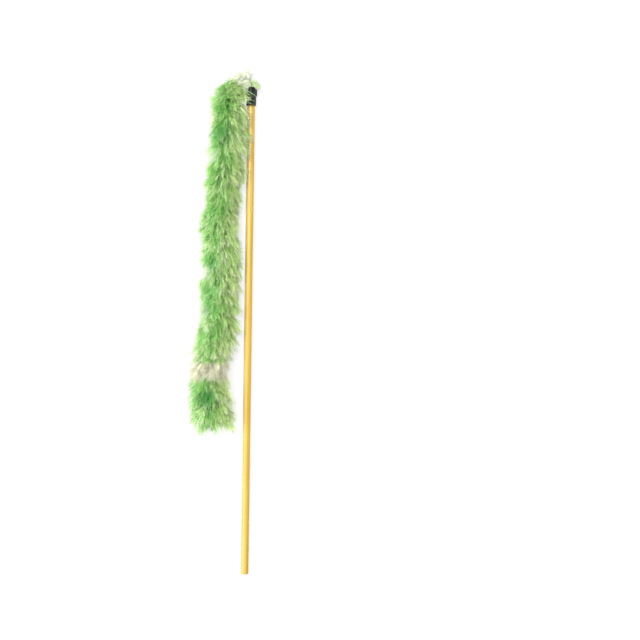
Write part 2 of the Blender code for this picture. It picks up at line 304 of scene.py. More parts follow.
# How far the feathers reach from the string to its left and right, and how far they lean out
# from it, in degrees, by length along the string
tailSections = (
    (0.0160, 0.0014, 0.0110, 48),
    (0.0180, 0.0014, 0.0130, 50),
    (0.0205, 0.0016, 0.0172, 54),
    (0.0242, 0.0044, 0.0190, 70),
    (0.0285, 0.0112, 0.0185, 72),
    (0.0322, 0.0156, 0.0195, 64),
    (0.0382, 0.0152, 0.0205, 52),
    (0.0482, 0.0150, 0.0209, 42),
    (0.0602, 0.0160, 0.0202, 37),
    (0.0862, 0.0166, 0.0184, 36),
    (0.1112, 0.0172, 0.0166, 36),
    (0.1262, 0.0180, 0.0162, 36),
    (0.1512, 0.0180, 0.0194, 36),
    (0.1762, 0.0176, 0.0200, 36),
    (0.2012, 0.0182, 0.0200, 36),
    (0.2212, 0.0172, 0.0204, 36),
    (0.2382, 0.0176, 0.0176, 36),
    (0.2462, 0.0182, 0.0176, 36),
    (0.2602, 0.0180, 0.0190, 34),
    (0.2762, 0.0192, 0.0205, 34),
    (0.2862, 0.0196, 0.0214, 32),
    (0.2952, 0.0166, 0.0200, 34),
    (0.3022, 0.0140, 0.0186, 34),
)


def routeHolder(name, line, sections):
    # A bare line of edges that carries each section's reach and lean, for a tree to follow.
    mesh = bpy.data.meshes.new(name)
    mesh.from_pydata(line, [(k, k + 1) for k in range(len(line) - 1)], [])
    rows = [between(sections, length) for length in lineLengths(line)]
    columns = {
        "leftReach": [row[0] for row in rows],
        "rightReach": [row[1] for row in rows],
        "lean": [math.radians(row[2]) for row in rows],
    }
    for column, values in columns.items():
        mesh.attributes.new(column, "FLOAT", "POINT").data.foreach_set("value", values)
    return putInScene(name, mesh)


# What all feathers share. The bows are a quill and a barb of unit length along +Z, by the start,
# middle and end of a curve. A draw has a name, an owner, and its least and most.
feather = {
    "quillBow": ((0, 0, 0), (0.22, 0, 0.45), (0.20, 0, 1.0)),
    "barbBow": ((0, 0, 0), (0.36, 0, 0.36), (0.48, 0, 0.95)),
    "quillSteps": 6,
    "barbSteps": 3,
    "sides": 3,
    "quillTaper": -0.75,
    "barbTaper": -0.65,
    "bareFoot": 0.10,
    "goldenShare": 0.6180339887,
    "rightLevel": -0.35,  # below this, a feather counts as on the right; the string's top is 0
    "outerShare": 0.6,
    "barbOutline": ((0.0, 0.55), (0.20, 0.90), (0.60, 1.00), (1.0, 0.50)),
    "barbFree": 0.8,
    "quillFreePower": 2.0,
    "seedSteps": {"feather": 9973.0, "barb": 999983.0},
    "draws": (
        ("stray", "feather", -0.2, 0.2),
        ("lean", "feather", -1.0, 1.0),
        ("growth", "feather", 0.78, 1.16),
        ("twist", "feather", -1.0, 1.0),
        ("tone", "feather", 0.0, 1.0),
        ("fluff", "barb", -1.0, 1.0),
        ("splay", "barb", -0.45, 0.45),
        ("barbGrowth", "barb", 0.72, 1.12),
    ),
}

plumageInputs = {
    "NodeSocketGeometry": ("route",),
    "NodeSocketInt": ("feathers", "barbs", "seed"),
    "NodeSocketFloat": (
        "from", "to", "quillShare", "quillRadius", "barbLength", "barbRadius", "leanSpread",
        "twistSpread", "fluffSpread", "topShare", "tableShare", "lockSize", "lockReach",
        "wispSize", "wispReach", "sagZone", "tableClearance", "flatness", "fullReach",
        "tapeFoot", "tapeSide", "tapeTop", "dowelSide", "dowelTop",
    ),
    "NodeSocketMaterial": ("barbFinish", "quillFinish"),
}
cordInputs = {
    "NodeSocketGeometry": ("route",),
    "NodeSocketInt": ("plies", "sides"),
    "NodeSocketFloat": ("from", "to", "plyRadius", "plyOffset", "lay"),
    "NodeSocketMaterial": ("finish",),
}


def startTree(name, inputs):
    # A Geometry Nodes tree with named inputs, the function that adds its nodes, and its inputs.
    tree = bpy.data.node_groups.new(name, "GeometryNodeTree")
    for kind, names in inputs.items():
        for inputName in names:
            tree.interface.new_socket(inputName, in_out="INPUT", socket_type=kind)
    tree.interface.new_socket("made", in_out="OUTPUT", socket_type="NodeSocketGeometry")
    add = partial(addNode, tree)
    return tree, add, add("NodeGroupInput").outputs


def plumageTree():
    # Feathers round a string: quills lean out from it, and barbs leave each quill on both sides.
    tree, add, given = startTree("plumage", plumageInputs)

    # Roots of the feathers, evenly along the string
    index = add("GeometryNodeInputIndex")
    position = add("GeometryNodeInputPosition")
    shareAlong = add("GeometryNodeSplineParameter").outputs["Factor"]
    route = add("GeometryNodeMeshToCurve", given["route"])
    route = add("GeometryNodeSetCurveNormal", route, mode="Z_UP")
    route = add(
        "GeometryNodeTrimCurve",
        inputs={"Curve": route, "Start": given["from"], "End": given["to"]}, mode="LENGTH",
    )
    roots = add(
        "GeometryNodeCurveToPoints", inputs={"Curve": route, "Count": given["feathers"]}, mode="COUNT",
    )

    # Random draws with fixed seeds, from a number for each feather and each barb
    numbers = {
        owner: add("ShaderNodeMath", given["seed"], step, index, operation="MULTIPLY_ADD")
        for owner, step in feather["seedSteps"].items()
    }
    drawn = {}
    for seed, (name, owner, least, most) in enumerate(feather["draws"], 1):
        drawn[name] = add("FunctionNodeRandomValue", data_type="FLOAT", inputs={
            "Min": least, "Max": most, "ID": numbers[owner], "Seed": seed,
        })

    # Golden-section turns round the string, so that no two neighbours line up
    golden = add("ShaderNodeMath", index, feather["goldenShare"], operation="MULTIPLY")
    golden = add("ShaderNodeMath", golden, operation="FRACT")
    turn = add("ShaderNodeMath", golden, 2 * math.pi, -math.pi, operation="MULTIPLY_ADD")
    turn = add("ShaderNodeMath", turn, drawn["stray"], operation="ADD")
    level = add("ShaderNodeMath", turn, operation="COSINE")
    down = add("ShaderNodeMath", turn, operation="SINE")

    # Each feather's reach follows the tail's outline: wide at the sides, flatter below and above
    leftReach = add("GeometryNodeInputNamedAttribute", "leftReach", data_type="FLOAT")
    rightReach = add("GeometryNodeInputNamedAttribute", "rightReach", data_type="FLOAT")
    toLeft = add("ShaderNodeMath", level, 0.0, operation="GREATER_THAN")
    sideReach = add("GeometryNodeSwitch", toLeft, rightReach, leftReach, input_type="FLOAT")
    below = add("ShaderNodeMath", down, 0.0, operation="GREATER_THAN")
    heightShare = add("GeometryNodeSwitch", below, given["topShare"], given["tableShare"],
                      input_type="FLOAT")
    meanReach = add("ShaderNodeMath", leftReach, rightReach, operation="ADD")
    height = add("ShaderNodeMath", meanReach, heightShare, operation="MULTIPLY")
    height = add("ShaderNodeMath", height, 0.5, operation="MULTIPLY")
    height = add("ShaderNodeMath", height, down, operation="MULTIPLY")
    across = add("ShaderNodeMath", sideReach, level, operation="MULTIPLY")
    outline = add("ShaderNodeCombineXYZ", across, height)
    reach = add("ShaderNodeVectorMath", outline, operation="LENGTH").outputs["Value"]
    lean = add("GeometryNodeInputNamedAttribute", "lean", data_type="FLOAT")
    lean = add("ShaderNodeMath", drawn["lean"], given["leanSpread"], lean, operation="MULTIPLY_ADD")
    sine = add("ShaderNodeMath", lean, operation="SINE")
    cosine = add("ShaderNodeMath", lean, operation="COSINE")
    bowOut = feather["quillBow"][-1][0]
    outShare = add("ShaderNodeMath", cosine, bowOut, sine, operation="MULTIPLY_ADD")
    quillLength = add("ShaderNodeMath", reach, given["quillShare"], operation="MULTIPLY")
    quillLength = add("ShaderNodeMath", quillLength, outShare, operation="DIVIDE")
    quillLength = add("ShaderNodeMath", quillLength, drawn["growth"], operation="MULTIPLY")

    # Each feather turns round the string, then leans, and its vane twists on its quill
    byTurn = add("FunctionNodeAxisAngleToRotation", (0, 0, 1), turn)
    byLean = add("FunctionNodeAxisAngleToRotation", (0, 1, 0), lean)
    twist = add("ShaderNodeMath", drawn["twist"], given["twistSpread"], operation="MULTIPLY")
    byTwist = add("FunctionNodeAxisAngleToRotation", (0, 0, 1), twist)
    facing = add("FunctionNodeRotateRotation", roots.outputs["Rotation"], byTurn,
                 rotation_space="LOCAL")
    facing = add("FunctionNodeRotateRotation", facing, byLean, rotation_space="LOCAL")
    twisted = add("FunctionNodeRotateRotation", facing, byTwist, rotation_space="LOCAL")
    vaneSide = add("FunctionNodeRotateVector", (0, 1, 0), twisted)
    quillWay = add("FunctionNodeRotateVector", (0, 0, 1), facing)
    flatSide = add("ShaderNodeVectorMath", (0, 0, 1), quillWay, operation="CROSS_PRODUCT")
    vaneSide = add("ShaderNodeMix", data_type="VECTOR",
                   inputs={"Factor": given["flatness"], "A": vaneSide, "B": flatSide})
    vaneSide = add("ShaderNodeVectorMath", vaneSide, operation="NORMALIZE")
    points = add("GeometryNodeStoreNamedAttribute", data_type="FLOAT_VECTOR",
                 inputs={"Geometry": roots, "Name": "vaneSide", "Value": vaneSide})

    # Barbs have their full length where the feather reaches far enough. Everywhere but on the
    # right, the outline's left side limits them too, so that they stay short over the fold.
    toRight = add("ShaderNodeMath", level, feather["rightLevel"], operation="LESS_THAN")
    outerReach = add("ShaderNodeMath", leftReach, feather["outerShare"], operation="MULTIPLY")
    outerReach = add("ShaderNodeMath", reach, outerReach, operation="MINIMUM")
    fullness = add("GeometryNodeSwitch", toRight, outerReach, reach, input_type="FLOAT")
    fullness = add("ShaderNodeMath", fullness, given["fullReach"], operation="DIVIDE")
    fullness = add("ShaderNodeMath", fullness, 1.0, operation="MINIMUM")
    for name, value in (("tone", drawn["tone"]), ("side", level), ("fullness", fullness)):
        points = add("GeometryNodeStoreNamedAttribute", data_type="FLOAT",
                     inputs={"Geometry": points, "Name": name, "Value": value})
    quill = add("GeometryNodeCurveQuadraticBezier", feather["quillSteps"], *feather["quillBow"])
    quills = add(
        "GeometryNodeInstanceOnPoints",
        inputs={"Points": points, "Instance": quill, "Rotation": facing, "Scale": quillLength},
    )
    quills = add("GeometryNodeRealizeInstances", quills)
    for name, value in (("quillShare", shareAlong), ("tipShare", 0.0)):
        quills = add("GeometryNodeStoreNamedAttribute", data_type="FLOAT",
                     inputs={"Geometry": quills, "Name": name, "Value": value})

    # Barbs on both sides of each quill, but for its bare foot
    vaned = add("GeometryNodeTrimCurve", mode="FACTOR",
                inputs={"Curve": quills, "Start": feather["bareFoot"], "End": 1.0})
    barbRoots = add("GeometryNodeCurveToPoints", mode="COUNT",
                    inputs={"Curve": vaned, "Count": given["barbs"]})
    vaneThere = add("GeometryNodeInputNamedAttribute", "vaneSide", data_type="FLOAT_VECTOR")
    aligned = add("FunctionNodeAlignRotationToVector", axis="Z",
                  inputs={"Vector": barbRoots.outputs["Tangent"]})
    aligned = add("FunctionNodeAlignRotationToVector", axis="X", pivot_axis="Z",
                  inputs={"Rotation": aligned, "Vector": vaneThere})
    fluff = add("ShaderNodeMath", drawn["fluff"], given["fluffSpread"], operation="MULTIPLY")
    byFluff = add("FunctionNodeAxisAngleToRotation", (0, 0, 1), fluff)
    bySplay = add("FunctionNodeAxisAngleToRotation", (0, 1, 0), drawn["splay"])
    for step in (byFluff, bySplay):
        aligned = add("FunctionNodeRotateRotation", aligned, step, rotation_space="LOCAL")
    quillShare = add("GeometryNodeInputNamedAttribute", "quillShare", data_type="FLOAT")
    lengthShare = add("ShaderNodeFloatCurve", inputs={"Value": quillShare})
    curvePoints = lengthShare.mapping.curves[0].points
    first, *middle, last = feather["barbOutline"]
    curvePoints[0].location, curvePoints[1].location = first, last
    for place in middle:
        curvePoints.new(*place)
    lengthShare.mapping.update()
    barbLength = add("ShaderNodeMath", lengthShare, given["barbLength"], operation="MULTIPLY")
    barbLength = add("ShaderNodeMath", barbLength, drawn["barbGrowth"], operation="MULTIPLY")
    fullThere = add("GeometryNodeInputNamedAttribute", "fullness", data_type="FLOAT")
    barbLength = add("ShaderNodeMath", barbLength, fullThere, operation="MULTIPLY")
    parity = add("ShaderNodeMath", index, 2.0, operation="MODULO")
    sideSign = add("ShaderNodeMath", parity, 2.0, -1.0, operation="MULTIPLY_ADD")
    signedLength = add("ShaderNodeMath", barbLength, sideSign, operation="MULTIPLY")
    barbScale = add("ShaderNodeCombineXYZ", signedLength, barbLength, barbLength)
    barb = add("GeometryNodeCurveQuadraticBezier", feather["barbSteps"], *feather["barbBow"])
    barbs = add(
        "GeometryNodeInstanceOnPoints",
        inputs={"Points": barbRoots, "Instance": barb, "Rotation": aligned, "Scale": barbScale},
    )
    barbs = add("GeometryNodeRealizeInstances", barbs)
    barbs = add("GeometryNodeStoreNamedAttribute", data_type="FLOAT",
                inputs={"Geometry": barbs, "Name": "tipShare", "Value": shareAlong})

    # Locks and wisps: neighbours drift together, more towards their tips
    tipShare = add("GeometryNodeInputNamedAttribute", "tipShare", data_type="FLOAT")
    quillFree = add("ShaderNodeMath", quillShare, feather["quillFreePower"], operation="POWER")
    freeShare = add("ShaderNodeMath", tipShare, feather["barbFree"], quillFree,
                    operation="MULTIPLY_ADD")
    drifts = []
    for size, far in (("lockSize", "lockReach"), ("wispSize", "wispReach")):
        scale = add("ShaderNodeMath", 1.0, given[size], operation="DIVIDE")
        field = add("ShaderNodeTexNoise", inputs={"Vector": position, "Scale": scale, "Detail": 0.0})
        away = add("ShaderNodeVectorMath", field.outputs["Color"], (0.5, 0.5, 0.5),
                   operation="SUBTRACT")
        amount = add("ShaderNodeMath", given[far], freeShare, operation="MULTIPLY")
        drifts.append(add("ShaderNodeVectorMath", away, amount, operation="SCALE"))
    drift = add("ShaderNodeVectorMath", *drifts, operation="ADD")

    # Near the table the feathers flatten, and none goes through it
    place = add("ShaderNodeSeparateXYZ", position).outputs
    belowZone = add("ShaderNodeMath", place["Z"], given["sagZone"], operation="SUBTRACT")
    pressed = add("ShaderNodeMath", belowZone, given["sagZone"], operation="DIVIDE")
    pressed = add("ShaderNodeMath", pressed, operation="EXPONENT")
    pressed = add("ShaderNodeMath", pressed, given["sagZone"], operation="MULTIPLY")
    inZone = add("ShaderNodeMath", belowZone, 0.0, operation="LESS_THAN")
    lower = add("GeometryNodeSwitch", inZone, place["Z"], pressed, input_type="FLOAT")
    lower = add("ShaderNodeMath", lower, given["tableClearance"], operation="ADD")

    # Beside the dowel and its tape, low feathers stop against them
    nearTape = add("ShaderNodeMath", place["Y"], given["tapeFoot"], operation="GREATER_THAN")
    side = add("GeometryNodeSwitch", nearTape, given["dowelSide"], given["tapeSide"],
               input_type="FLOAT")
    top = add("GeometryNodeSwitch", nearTape, given["dowelTop"], given["tapeTop"],
              input_type="FLOAT")
    under = add("ShaderNodeMath", lower, top, operation="LESS_THAN")
    stopped = add("ShaderNodeMath", place["X"], side, operation="MINIMUM")
    across = add("GeometryNodeSwitch", under, place["X"], stopped, input_type="FLOAT")
    settled = add("ShaderNodeCombineXYZ", across, place["Y"], lower)

    profile = add("GeometryNodeCurvePrimitiveCircle", mode="RADIUS",
                  inputs={"Resolution": feather["sides"], "Radius": 1.0})
    both = add("GeometryNodeJoinGeometry")
    for strands, thickness, taper, finish in (
        (quills, "quillRadius", feather["quillTaper"], "quillFinish"),
        (barbs, "barbRadius", feather["barbTaper"], "barbFinish"),
    ):
        strands = add("GeometryNodeSetPosition", inputs={"Geometry": strands, "Offset": drift})
        strands = add("GeometryNodeSetPosition", inputs={"Geometry": strands, "Position": settled})
        strands = add("GeometryNodeStoreNamedAttribute", data_type="FLOAT_VECTOR",
                      inputs={"Geometry": strands, "Name": "restPlace", "Value": position})
        thinning = add("ShaderNodeMath", shareAlong, taper, 1.0, operation="MULTIPLY_ADD")
        width = add("ShaderNodeMath", thinning, given[thickness], operation="MULTIPLY")
        skin = add("GeometryNodeCurveToMesh", inputs={
            "Curve": strands, "Profile Curve": profile, "Scale": width, "Fill Caps": True,
        })
        skin = add("GeometryNodeSetMaterial", inputs={"Geometry": skin, "Material": given[finish]})
        tree.links.new(skin.outputs[0], both.inputs[0])
    smooth = add("GeometryNodeSetShadeSmooth", both)
    real = add("GeometryNodeRealizeInstances", smooth)
    add("NodeGroupOutput", real)
    return tree


# Twisted cord

cord = {
    "plies": 3,
    "plyRadius": 0.00050,
    "plyOffset": 0.00052,
    "lay": 0.0052,
    "stepsPerLay": 9.0,
    "sides": 6,
}


def cordTree():
    # Plies that wind round a route, each turned on from the last.
    tree, add, given = startTree("twistedCord", cordInputs)
    line = add("GeometryNodeMeshToCurve", given["route"])
    line = add("GeometryNodeSetCurveNormal", line, mode="Z_UP")
    line = add("GeometryNodeTrimCurve", mode="LENGTH",
               inputs={"Curve": line, "Start": given["from"], "End": given["to"]})
    step = add("ShaderNodeMath", given["lay"], cord["stepsPerLay"], operation="DIVIDE")
    line = add("GeometryNodeResampleCurve", mode="LENGTH", inputs={"Curve": line, "Length": step})
    plies = add("GeometryNodeDuplicateElements", domain="SPLINE",
                inputs={"Geometry": line, "Amount": given["plies"]})
    along = add("GeometryNodeSplineParameter").outputs["Length"]
    turns = add("ShaderNodeMath", along, given["lay"], operation="DIVIDE")
    share = add("ShaderNodeMath", plies.outputs["Duplicate Index"], given["plies"], operation="DIVIDE")
    turns = add("ShaderNodeMath", turns, share, operation="ADD")
    angle = add("ShaderNodeMath", turns, 2 * math.pi, operation="MULTIPLY")
    tangent = add("GeometryNodeInputTangent")
    normal = add("GeometryNodeInputNormal")
    spoke = add("ShaderNodeVectorRotate", rotation_type="AXIS_ANGLE",
                inputs={"Vector": normal, "Axis": tangent, "Angle": angle})
    offset = add("ShaderNodeVectorMath", spoke, given["plyOffset"], operation="SCALE")
    plies = add("GeometryNodeSetPosition", inputs={"Geometry": plies, "Offset": offset})
    profile = add("GeometryNodeCurvePrimitiveCircle", mode="RADIUS",
                  inputs={"Resolution": given["sides"], "Radius": given["plyRadius"]})
    skin = add("GeometryNodeCurveToMesh",
               inputs={"Curve": plies, "Profile Curve": profile, "Fill Caps": True})
    smooth = add("GeometryNodeSetShadeSmooth", skin)
    real = add("GeometryNodeRealizeInstances", smooth)
    painted = add("GeometryNodeSetMaterial", inputs={"Geometry": real, "Material": given["finish"]})
    add("NodeGroupOutput", painted)
    return tree


# Finishes. A pattern's scale is in patches to the metre, with the size of one beside it.

dye = {
    "outwardShare": 0.50,
    "blotches": 60.0,  # 17 mm each
    "blotchShare": 0.9,
    "toneShare": 0.26,
    # painted light, in part: feathers on the right are mixed towards a paler yellow-green, partly
    # their own yellower tone, partly to lift the side the lamps leave in shade
    "warm": "#D6E093",
    "warmFrom": 0.2,
    "warmTo": -0.9,
    # painted highlight: on the right side the outer tips are mixed towards near white, as if lit
    "tipHighlight": "#F8F8E0",
    "tipHighlightFrom": 0.60,
    "tipHighlightTo": 0.95,
    "tipHighlightShare": 2.0,
    "frays": 260.0,  # 4 mm each
    "frayShare": 1.4,
    "bandStart": 0.0008,
    "bandEnd": (0.0030, 0.0020),
}


def dyedFeather(name, stops, warmth, spots=(), band=None):
    # Turkey hackle, bleached and dipped in acid dye: matt keratin fibres, deep in colour at the quill
    # and pale at their tips, with blotches where the dye took unevenly. On the right side the colour
    # is lifted towards a paler yellow-green, partly the fibres' own tone and partly painted light,
    # and the outer tips there carry a painted highlight.
    made, tree, shader = startMaterial(name, {
        "Roughness": 0.60, "Specular IOR Level": 0.2,
    })
    add = partial(addNode, tree)
    place = add("ShaderNodeAttribute", attribute_name="restPlace").outputs["Vector"]
    tipShare = add("ShaderNodeAttribute", attribute_name="tipShare").outputs["Fac"]
    quillShare = add("ShaderNodeAttribute", attribute_name="quillShare").outputs["Fac"]
    tone = add("ShaderNodeAttribute", attribute_name="tone").outputs["Fac"]
    side = add("ShaderNodeAttribute", attribute_name="side").outputs["Fac"]
    outward = add("ShaderNodeMath", tipShare, dye["outwardShare"], operation="MULTIPLY")
    outward = add("ShaderNodeMath", quillShare, dye["outwardShare"], outward,
                  operation="MULTIPLY_ADD")
    blotch = add("ShaderNodeTexNoise",
                 inputs={"Vector": place, "Scale": dye["blotches"], "Detail": 1.0})
    shift = add("ShaderNodeMath", blotch, 0.5, operation="SUBTRACT")
    shift = add("ShaderNodeMath", shift, dye["blotchShare"], outward, operation="MULTIPLY_ADD")
    perFeather = add("ShaderNodeMath", tone, 0.5, operation="SUBTRACT")
    shift = add("ShaderNodeMath", perFeather, dye["toneShare"], shift, operation="MULTIPLY_ADD")
    colour = add("ShaderNodeValToRGB", shift)
    setRamp(colour, stops)
    # Painted light, in part: the right side is lifted towards a paler yellow-green, partly the fibres'
    # own tone, partly to offset the shade there.
    warm = add("ShaderNodeMapRange", side, interpolation_type="SMOOTHSTEP",
               inputs={"From Min": dye["warmFrom"], "From Max": dye["warmTo"], "To Max": warmth})
    colour = add("ShaderNodeMix", data_type="RGBA",
                 inputs={"Factor": warm, "A": colour, "B": linear(dye["warm"])})
    # Painted highlight: the outer part of the barbs on the right side is mixed towards near white.
    tipHighlight = add("ShaderNodeMapRange", outward, interpolation_type="SMOOTHSTEP",
               inputs={"From Min": dye["tipHighlightFrom"], "From Max": dye["tipHighlightTo"],
                       "To Max": dye["tipHighlightShare"] * warmth})
    tipHighlight = add("ShaderNodeMath", tipHighlight, warm, operation="MULTIPLY")
    colour = add("ShaderNodeMix", data_type="RGBA",
                 inputs={"Factor": tipHighlight, "A": colour, "B": linear(dye["tipHighlight"])})
    level = add("ShaderNodeVectorMath", place, (1.0, 1.0, 0.0), operation="MULTIPLY")
    frayed = add("ShaderNodeTexNoise",
                 inputs={"Vector": place, "Scale": dye["frays"], "Detail": 2.0})
    frayed = add("ShaderNodeMath", frayed, 0.5, operation="SUBTRACT")
    for spot in spots:
        away = add("ShaderNodeVectorMath", level, (*spot["at"], 0.0), operation="DISTANCE")
        away = add("ShaderNodeMath", frayed, dye["frayShare"] * spot["size"],
                   away.outputs["Value"], operation="MULTIPLY_ADD")
        near = add("ShaderNodeMapRange", away, interpolation_type="SMOOTHSTEP",
                   inputs={"From Min": 0.0, "From Max": spot["size"],
                           "To Min": spot["strength"], "To Max": 0.0})
        colour = add("ShaderNodeMix", data_type="RGBA",
                     inputs={"Factor": near, "A": colour, "B": linear(spot["colour"])})
    if band:
        back = add("ShaderNodeSeparateXYZ", place).outputs["Y"]
        back = add("ShaderNodeMath", perFeather, band["ragged"], back, operation="MULTIPLY_ADD")
        entering = add("ShaderNodeMapRange", back, interpolation_type="SMOOTHSTEP", inputs={
            "From Min": band["from"] + dye["bandStart"], "From Max": band["from"] - dye["bandStart"],
        })
        leaving = add("ShaderNodeMapRange", back, interpolation_type="SMOOTHSTEP", inputs={
            "From Min": band["to"] - dye["bandEnd"][0], "From Max": band["to"] + dye["bandEnd"][1],
        })
        inside = add("ShaderNodeMath", entering, leaving, operation="MULTIPLY")
        colour = add("ShaderNodeMix", data_type="RGBA",
                     inputs={"Factor": inside, "A": colour, "B": linear(band["colour"])})
    feed(tree, colour, shader.inputs["Base Color"])
    return made


wood = {
    "grain": (900.0, 11.0, 900.0),  # 1.1 mm across and 91 mm along the stick
    "patches": (120.0, 26.0, 120.0),  # 8 mm across and 38 mm along
    "stops": ((0.28, "#B88F3B"), (0.46, "#CAA549"), (0.62, "#D5B353"), (0.80, "#DEC065")),
    "patchColour": "#C59840",
    "endColour": "#D9A865",
}


def lacqueredWood():
    # A birch dowel under honey-coloured nitrocellulose lacquer: straight grain along the stick,
    # darker pores, and sawn end grain.
    made, tree, shader = startMaterial("lacquered wood", {
        "Coat Weight": 0.25, "Coat Roughness": 0.30, "Specular IOR Level": 0.3,
    })
    add = partial(addNode, tree)
    place = add("ShaderNodeTexCoord").outputs["Object"]
    stretched = add("ShaderNodeVectorMath", place, wood["grain"], operation="MULTIPLY")
    grain = add("ShaderNodeTexNoise",
                inputs={"Vector": stretched, "Scale": 1.0, "Detail": 4.0, "Roughness": 0.6})
    colour = add("ShaderNodeValToRGB", grain)
    setRamp(colour, wood["stops"])
    broad = add("ShaderNodeVectorMath", place, wood["patches"], operation="MULTIPLY")
    patches = add("ShaderNodeTexNoise", inputs={"Vector": broad, "Scale": 1.0, "Detail": 1.0})
    patches = add("ShaderNodeMapRange", patches,
                  inputs={"From Min": 0.42, "From Max": 0.70, "To Max": 0.5})
    colour = add("ShaderNodeMix", data_type="RGBA",
                 inputs={"Factor": patches, "A": colour, "B": linear(wood["patchColour"])})
    facing = add("ShaderNodeSeparateXYZ", add("ShaderNodeNewGeometry").outputs["Normal"])
    atEnd = add("ShaderNodeMath", facing.outputs["Y"], operation="ABSOLUTE")
    atEnd = add("ShaderNodeMath", atEnd, 0.9, operation="GREATER_THAN")
    colour = add("ShaderNodeMix", data_type="RGBA",
                 inputs={"Factor": atEnd, "A": colour, "B": linear(wood["endColour"])})
    feed(tree, colour, shader.inputs["Base Color"])
    rough = add("ShaderNodeMapRange", grain, inputs={"To Min": 0.30, "To Max": 0.42})
    feed(tree, rough, shader.inputs["Roughness"])
    bump = add("ShaderNodeBump", inputs={"Strength": 0.15, "Distance": 0.0001, "Height": grain})
    feed(tree, bump, shader.inputs["Normal"])
    return made


vinyl = {"colour": "#0B0E09", "grain": (500.0, 1400.0, 500.0)}  # 2 mm across and 0.7 mm along


def vinylTape():
    # Black PVC tape, stretched tight: a smooth calendered face with a soft plastic sheen.
    made, tree, shader = startMaterial("black vinyl tape", {
        "Base Color": linear(vinyl["colour"]), "Specular IOR Level": 0.4,
    })
    add = partial(addNode, tree)
    place = add("ShaderNodeTexCoord").outputs["Object"]
    stretch = add("ShaderNodeVectorMath", place, vinyl["grain"], operation="MULTIPLY")
    grain = add("ShaderNodeTexNoise", inputs={"Vector": stretch, "Scale": 1.0, "Detail": 3.0})
    rough = add("ShaderNodeMapRange", grain, inputs={"To Min": 0.40, "To Max": 0.58})
    feed(tree, rough, shader.inputs["Roughness"])
    bump = add("ShaderNodeBump", inputs={"Strength": 0.25, "Distance": 0.0001, "Height": grain})
    feed(tree, bump, shader.inputs["Normal"])
    return made


cottonFibres = 1500.0  # 0.7 mm each, coarser than real fibres, so that they show


def spunCotton(name, light, dark):
    # Carded cotton spun into plies: matt, and mottled by its fibres.
    made, tree, shader = startMaterial(name, {
        "Roughness": 0.9, "Specular IOR Level": 0.2, "Sheen Weight": 0.3,
    })
    add = partial(addNode, tree)
    place = add("ShaderNodeTexCoord").outputs["Object"]
    fibres = add("ShaderNodeTexNoise", inputs={"Vector": place, "Scale": cottonFibres, "Detail": 3.0})
    colour = add("ShaderNodeMix", data_type="RGBA",
                 inputs={"Factor": fibres, "A": linear(dark), "B": linear(light)})
    feed(tree, colour, shader.inputs["Base Color"])
    return made


greenStops = (
    (0.10, "#5DAF54"), (0.36, "#7FC766"), (0.58, "#9DD478"), (0.78, "#BFE496"), (0.98, "#E8F6CE"),
)
greenSpots = (
    {"at": (-0.0026, 0.1557), "size": 0.013, "strength": 0.60, "colour": "#3FA64E"},
    {"at": (-0.0087, 0.0490), "size": 0.011, "strength": 0.60, "colour": "#3FA64E"},
    {"at": (-0.0103, 0.0238), "size": 0.012, "strength": 0.45, "colour": "#58BC5E"},
    {"at": (-0.0105, -0.0640), "size": 0.014, "strength": 0.75, "colour": "#2F9A45"},
    {"at": (-0.0031, 0.1900), "size": 0.016, "strength": 0.50, "colour": "#A9D98C"},
    {"at": (-0.0099, 0.1372), "size": 0.009, "strength": 0.55, "colour": "#F4FBEA"},
    {"at": (-0.0160, 0.0400), "size": 0.010, "strength": 0.70, "colour": "#F4F8EC"},
    {"at": (-0.0165, 0.0087), "size": 0.009, "strength": 0.55, "colour": "#F4F8EC"},
)
undyedBand = {"from": -0.0350, "to": -0.0480, "ragged": 0.0050, "colour": "#E7E6CC"}
greenFeather = dyedFeather("green feather", greenStops, 0.45, greenSpots, undyedBand)
lightStops = (
    (0.10, "#A8D27E"), (0.36, "#BFE09A"), (0.58, "#D2ECB4"), (0.78, "#E2F3CC"), (0.98, "#F0F9E2"),
)
lightFeather = dyedFeather("light green feather", lightStops, 0.10)
paleStops = (
    (0.10, "#DFF0BC"), (0.36, "#EEF9D2"), (0.58, "#F8FEE6"), (0.78, "#FCFFF2"), (0.98, "#FFFFF8"),
)
paleFeather = dyedFeather("pale feather", paleStops, 0.10)
undyedRoots = {**undyedBand, "from": 0.0}
whiteFeather = dyedFeather("undyed feather", greenStops, 0.45, greenSpots, undyedRoots)
strandFinish = startMaterial("stray green barbs", {
    "Base Color": linear("#8FC184"), "Roughness": 0.55,
})[0]
greenQuill = startMaterial("green quill", {
    "Base Color": linear("#7FB25E"), "Roughness": 0.45,
})[0]
paleQuill = startMaterial("pale quill", {
    "Base Color": linear("#F1EFD2"), "Roughness": 0.35, "Subsurface Weight": 0.1,
    "Subsurface Radius": (0.001, 0.001, 0.0008),
})[0]
woodFinish = lacqueredWood()
tapeFinish = vinylTape()
stringFinish = spunCotton("green cotton", "#A9C98A", "#7FA562")
threadFinish = spunCotton("white cotton", "#EDEADC", "#CFCAB6")


# Tail, one piece to each stretch of string between the middles of two links

